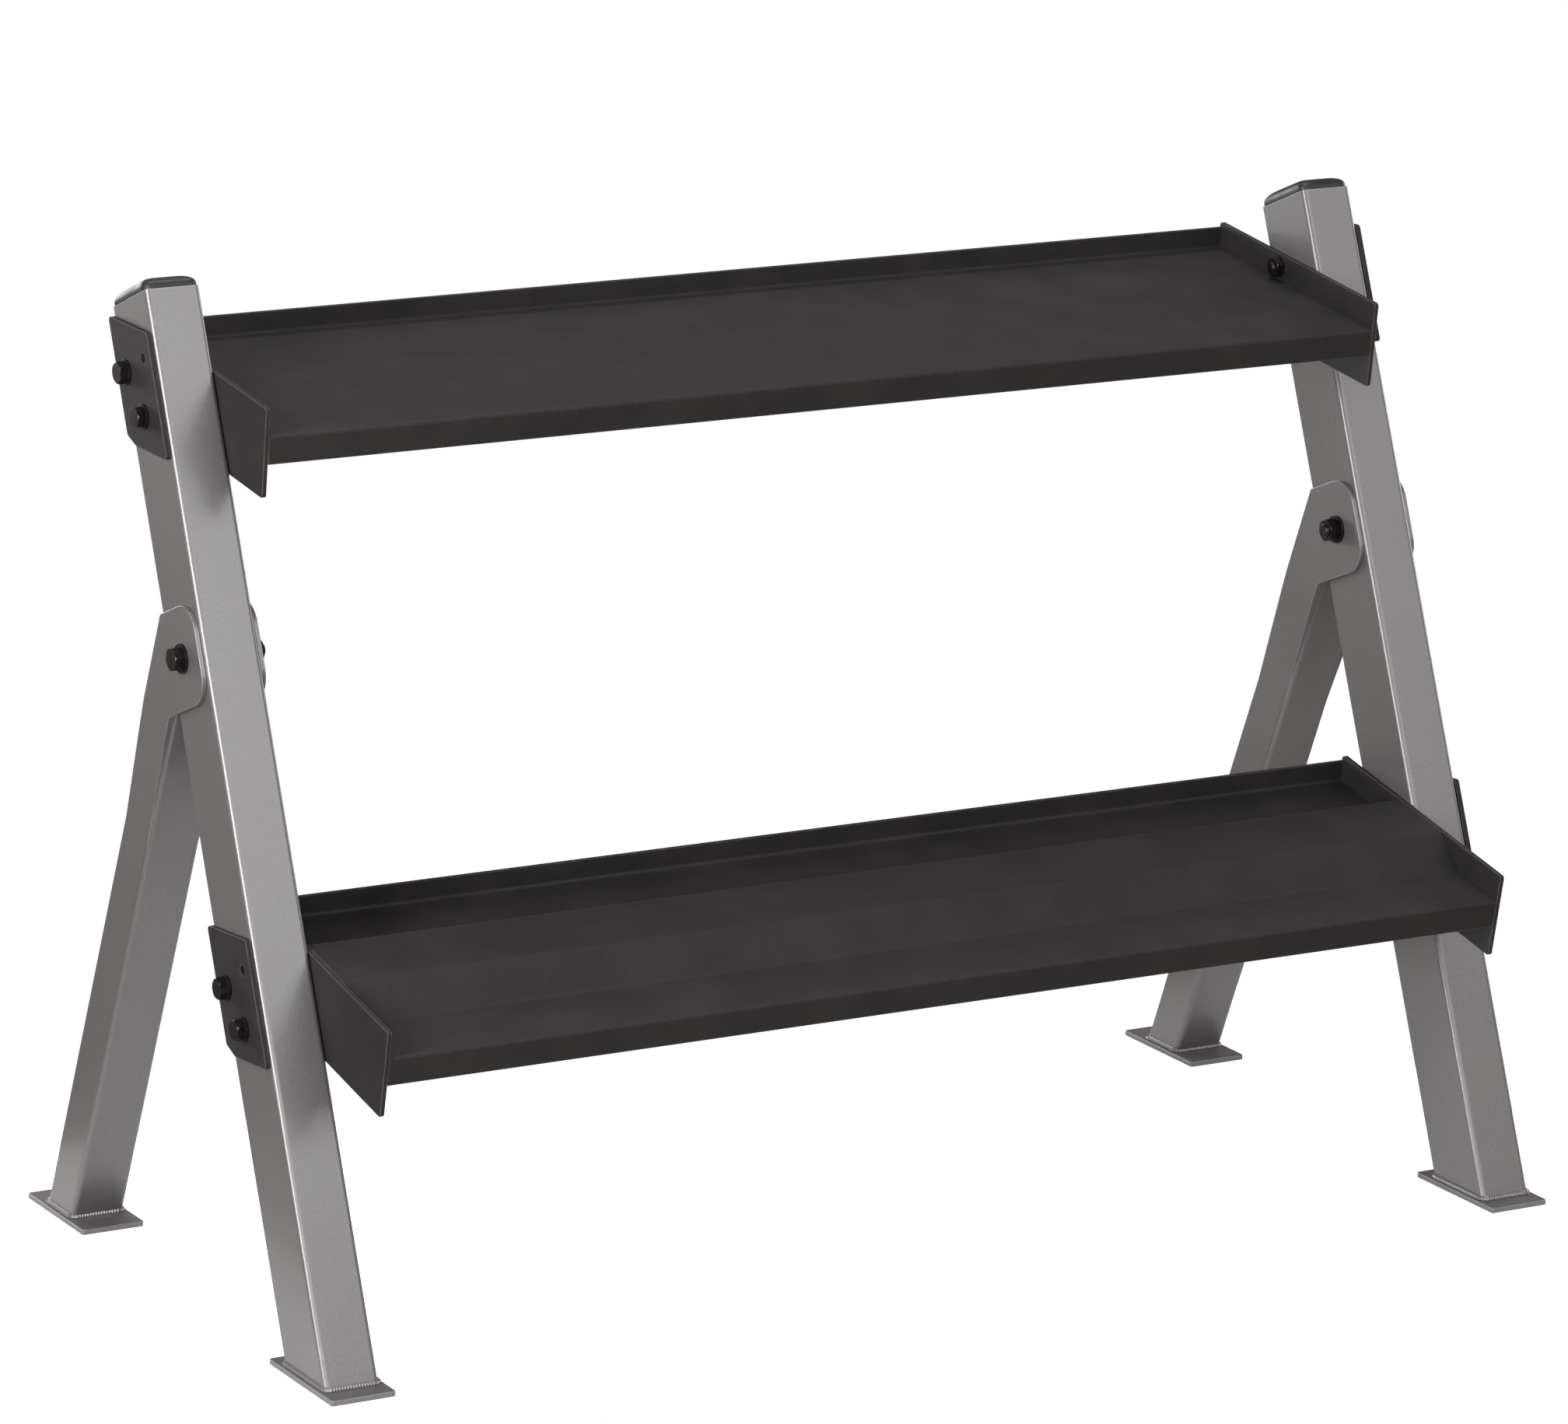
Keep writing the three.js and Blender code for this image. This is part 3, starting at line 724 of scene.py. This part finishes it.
def make_cap(name, plastic):
    """Domed cap: a crown on the end of the tube and a hollow skirt down inside it."""
    x = middle_of(f"upright_cap_{name}").x
    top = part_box(f"upright_{name}")[1].z / cos(UPRIGHT_LEAN)
    seat = top + GAP
    middle = Vector((x, UPRIGHT_DEPTH / 2, seat + CAP_RIM / 2))
    bpy.ops.mesh.primitive_cube_add(size=1, location=middle, scale=(TUBE_WIDTH, UPRIGHT_DEPTH, CAP_RIM))
    piece = called(f"tube_cap_{name}")
    sketch(piece)
    choose("EDGE", lambda edge: runs_along(edge, 2))
    bpy.ops.mesh.bevel(offset=CAP_CORNER, segments=8, affect="EDGES")
    choose("FACE", lambda face: face.normal.z > 0.9)
    height, width = 0.0, 1.0
    for step in range(1, DOME_STEPS + 1):
        angle = step * DOME_STEP
        rise = CAP_CROWN * sin(angle) - height
        shrink = cos(angle) ** (2 / 3) / width
        bpy.ops.mesh.extrude_region_move(TRANSFORM_OT_translate={"value": (0, 0, rise)})
        bpy.ops.transform.resize(value=(shrink, shrink, 1), center_override=middle)
        height, width = height + rise, width * shrink
    choose("FACE", lambda face: face.normal.z < -0.9)
    bpy.ops.mesh.inset(thickness=TUBE_WALL + PLAY)
    bpy.ops.mesh.extrude_region_move(TRANSFORM_OT_translate={"value": (0, 0, -CAP_SKIRT)})
    bpy.ops.mesh.inset(thickness=CAP_WALL)
    bpy.ops.mesh.extrude_region_move(TRANSFORM_OT_translate={"value": (0, 0, CAP_SKIRT)})
    finish_sketch()
    settle(piece, UPRIGHT)
    soften(piece, 0.4 * MM, segments=2)
    show(piece, plastic, "cap_plastic", f"upright_cap_{name}")


# ---- Shelves -------------------------------------------------------------------------------

def make_tray(level, ridged, paint):
    low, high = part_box(f"{level}_tray")
    path = [(0, TRAY_FLOOR - FRONT_LIP), (0, TRAY_FLOOR)]
    if ridged:
        path += [
            (RIDGE_FOOT, TRAY_FLOOR),
            (RIDGE_FOOT + RIDGE_SLOPE, 0),
            (TRAY_DEPTH - RIDGE_FOOT - RIDGE_SLOPE, 0),
            (TRAY_DEPTH - RIDGE_FOOT, TRAY_FLOOR),
        ]
    path += [(TRAY_DEPTH - SHEET, TRAY_FLOOR), (TRAY_DEPTH - SHEET, TRAY_FLOOR + BACK_STOP)]
    piece = folded_sheet(f"{level}_folded_tray", path, low.x, high.x)
    settle(piece, SHELF[level])
    soften(piece, 0.6 * MM)
    show(piece, paint, "shelf_black", f"{level}_tray")


def make_end_plate(level, name, paint):
    low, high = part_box(f"{level}_end_plate_{name}")
    ends = [(0, 0), (TRAY_DEPTH, 0), (TRAY_DEPTH, -END_PLATE_HEIGHT), (0, -END_PLATE_HEIGHT)]
    corners = [(*end, END_PLATE_CORNER) for end in ends]
    piece = plate(f"{level}_shelf_end_{name}", corners, low.x, high.x)
    settle(piece, SHELF[level])
    for place in ("rear", "front"):
        middle = middle_of(f"bolt_{level}_{place}_{name}")
        drill(piece, ((low.x + high.x) / 2, middle.y, middle.z), SHELF_BOLT_HOLE, DRILL)
    soften(piece, 0.6 * MM)
    show(piece, paint, "shelf_black", f"{level}_end_plate_{name}")


def make_bracket(level, name, paint):
    low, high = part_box(f"{level}_bracket_{name}")
    slope = tan(BRACKET[level]["slope"])
    top = bracket_top(level)
    front, back = BRACKET_FRONT, BRACKET_FRONT + BRACKET_WIDTH
    run, rise = BRACKET_CHAMFER
    foot = top - BRACKET_HEIGHT + (BRACKET_WIDTH - run) * slope
    corners = [
        (front, top, BRACKET_CORNER),
        (back, top + BRACKET_WIDTH * slope, BRACKET_CORNER),
        (back, foot + rise, BRACKET_CORNER),
        (back - run, foot, BRACKET_CORNER),
        (front, top - BRACKET_HEIGHT, BRACKET_CORNER),
    ]
    piece = plate(f"{level}_outer_bracket_{name}", corners, low.x, high.x)
    settle(piece, UPRIGHT)
    x = (low.x + high.x) / 2
    spare = UPRIGHT @ Vector((x, SPARE_HOLE_T, top - BRACKET[level]["spare_hole"]))
    drill(piece, spare, SPARE_HOLE_RADIUS, DRILL)
    for place in ("rear", "front"):
        middle = middle_of(f"bolt_{level}_{place}_{name}")
        drill(piece, (x, middle.y, middle.z), SHELF_BOLT_HOLE, DRILL)
    soften(piece, 0.7 * MM)
    show(piece, paint, "shelf_black", f"{level}_bracket_{name}")


# ---- Fasteners -----------------------------------------------------------------------------

def hexagon(name, flats, x_low, x_high, both_ends):
    """A hexagon along X whose corners are turned down at the outer end, or at both."""
    corner = flats / sqrt(3)
    middle = ((x_low + x_high) / 2, 0, 0)
    bpy.ops.mesh.primitive_cylinder_add(
        vertices=6, radius=corner, depth=x_high - x_low, location=middle, rotation=(0, pi / 2, 0))
    piece = called(name)
    bpy.ops.mesh.primitive_cylinder_add(
        vertices=60, radius=1.03 * corner, depth=x_high - x_low, location=middle, rotation=(0, pi / 2, 0))
    turning = called("turning")
    sketch(turning)
    ends = (x_low, x_high) if both_ends else (x_low,)
    choose("EDGE", lambda edge: any(
        all(abs(vertex.co.x - end) < NEAR for vertex in edge.verts) for end in ends))
    bpy.ops.mesh.bevel(offset=HEX_CHAMFER, segments=1, affect="EDGES")
    finish_sketch()
    combine(piece, turning, "INTERSECT")
    return piece


def make_bolt_pattern(size, length):
    """A hexagon bolt with its head's underside at x = 0 and its thread running to +X."""
    radius = size["radius"] * MM
    piece = hexagon("bolt_pattern", size["flats"] * MM, -size["head"] * MM, 0, False)
    x = length - THREAD_TURNS * THREAD_PITCH
    bpy.ops.mesh.primitive_cylinder_add(
        vertices=32, radius=radius, depth=x + 1 * MM, location=((x - 1 * MM) / 2, 0, 0),
        rotation=(0, pi / 2, 0))
    shank = called("shank")
    sketch(shank)
    choose("FACE", lambda face: face.normal.x > 0.9)
    for turn in range(THREAD_TURNS):
        for scale in (THREAD_ROOT, 1 / THREAD_ROOT):
            bpy.ops.mesh.extrude_region_move(TRANSFORM_OT_translate={"value": (THREAD_PITCH / 2, 0, 0)})
            x += THREAD_PITCH / 2
            last = turn == THREAD_TURNS - 1 and scale > 1
            grow = 1.0 if last else scale
            bpy.ops.transform.resize(value=(1, grow, grow), center_override=(x, 0, 0))
    finish_sketch()
    combine(piece, shank, "UNION")
    soften(piece, 0.25 * MM, angle=25, segments=2)
    return piece


def make_nut_pattern(size):
    piece = hexagon("nut_pattern", size["flats"] * MM, 0, size["nut"] * MM, True)
    drill(piece, (size["nut"] * MM / 2, 0, 0), size["radius"] * MM + GAP, 4 * size["nut"] * MM)
    soften(piece, 0.25 * MM, angle=25, segments=2)
    return piece


def make_washer_pattern(size):
    thickness = size["washer_thickness"] * MM
    bpy.ops.mesh.primitive_cylinder_add(
        vertices=56, radius=size["washer"] * MM, depth=thickness, location=(thickness / 2, 0, 0),
        rotation=(0, pi / 2, 0))
    piece = called("washer_pattern")
    drill(piece, (0, 0, 0), size["radius"] * MM + PLAY, 8 * thickness)
    soften(piece, 0.35 * MM, segments=2)
    return piece


def fastener_frame(node, side, x, spin):
    """Places a pattern on a bolt's axis, turned so that its -X side faces outwards."""
    middle = middle_of(node)
    facing = Matrix.Rotation(pi if side > 0 else 0, 4, "Z")
    return Matrix.Translation((x, middle.y, middle.z)) @ facing @ Matrix.Rotation(spin, 4, "X")


def outer_x(node, side):
    """The node's face that is furthest from the middle of the rack."""
    low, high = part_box(node)
    return high.x if side > 0 else low.x


def make_fastener(tag, side, size, patterns, washers, steel, spin):
    bolt, nut, washer = patterns
    head = outer_x(tag["bolt"], side) - side * size["head"] * MM
    piece = copied(bolt, f"hex_{tag['bolt']}", fastener_frame(tag["bolt"], side, head, spin))
    show(piece, steel, "fastener_black", tag["bolt"])
    seat = fastener_frame(tag["nut"], side, outer_x(tag["nut"], side), UPRIGHT_LEAN)
    piece = copied(nut, f"hex_{tag['nut']}", seat)
    show(piece, steel, "fastener_black", tag["nut"])
    for name in washers:
        seat = fastener_frame(name, side, outer_x(name, side), 0)
        piece = copied(washer, f"flat_{name}", seat)
        show(piece, steel, "fastener_black", name)


def patterns_for(size, bolt_node):
    low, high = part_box(bolt_node)
    length = high.x - low.x - size["head"] * MM
    return make_bolt_pattern(size, length), make_nut_pattern(size), make_washer_pattern(size)


def make_fasteners(steel):
    """Bolts, nuts and washers. Each head was tightened to an angle of its own."""
    shelf = patterns_for(SHELF_BOLT, "bolt_upper_rear_left")
    lap = patterns_for(LAP_BOLT, "lap_bolt_left")
    count = 0
    for name, side in SIDES:
        for level in SHELF_TILT:
            for place in ("rear", "front"):
                tail = f"{level}_{place}_{name}"
                tag = {"bolt": f"bolt_{tail}", "nut": f"nut_{tail}"}
                count += 1
                spin = radians(23 * count)
                make_fastener(tag, side, SHELF_BOLT, shelf, [f"washer_{tail}"], steel, spin)
        tag = {"bolt": f"lap_bolt_{name}", "nut": f"lap_nut_{name}"}
        washers = [f"lap_washer_outer_{name}", f"lap_washer_inner_{name}"]
        make_fastener(tag, side, LAP_BOLT, lap, washers, steel, radians(11 * count))
    for pattern in (*shelf, *lap):
        bpy.data.objects.remove(pattern)


# ---- The rack ------------------------------------------------------------------------------

def make_floor():
    """A pale floor lit from beneath, which throws little of that light on the rack."""
    bpy.ops.mesh.primitive_plane_add(size=1)
    bpy.context.object.scale = (*FLOOR_SIZE, 1)
    floor = called("studio_floor")
    material, tree, shader, _ = new_material("pale_floor")
    shader.inputs["Base Color"].default_value = linear("d0d0d0")
    shader.inputs["Roughness"].default_value = 0.9
    shader.inputs["Emission Color"].default_value = linear("ffffff")
    seen = add(tree, "LightPath").outputs["Is Camera Ray"]
    tree.links.new(spread(tree, seen, 0, 1, 0.2, 0.85), shader.inputs["Emission Strength"])
    floor.data.materials.append(material)


def make_rack():
    silver = silver_powder_coat()
    black = black_powder_coat()
    steel = black_oxide_steel()
    plastic = moulded_polythene()
    for name, side in SIDES:
        make_upright(name, side, silver)
        make_leg(name, silver)
        make_cap(name, plastic)
        for place in ("front", "rear"):
            make_foot(place, name, silver)
            make_foot_weld(place, name, silver)
        for level in SHELF_TILT:
            make_end_plate(level, name, black)
            make_bracket(level, name, black)
    make_tray("upper", False, black)
    make_tray("lower", True, black)
    make_fasteners(steel)


make_camera()
light_studio()
make_rack()
make_floor()
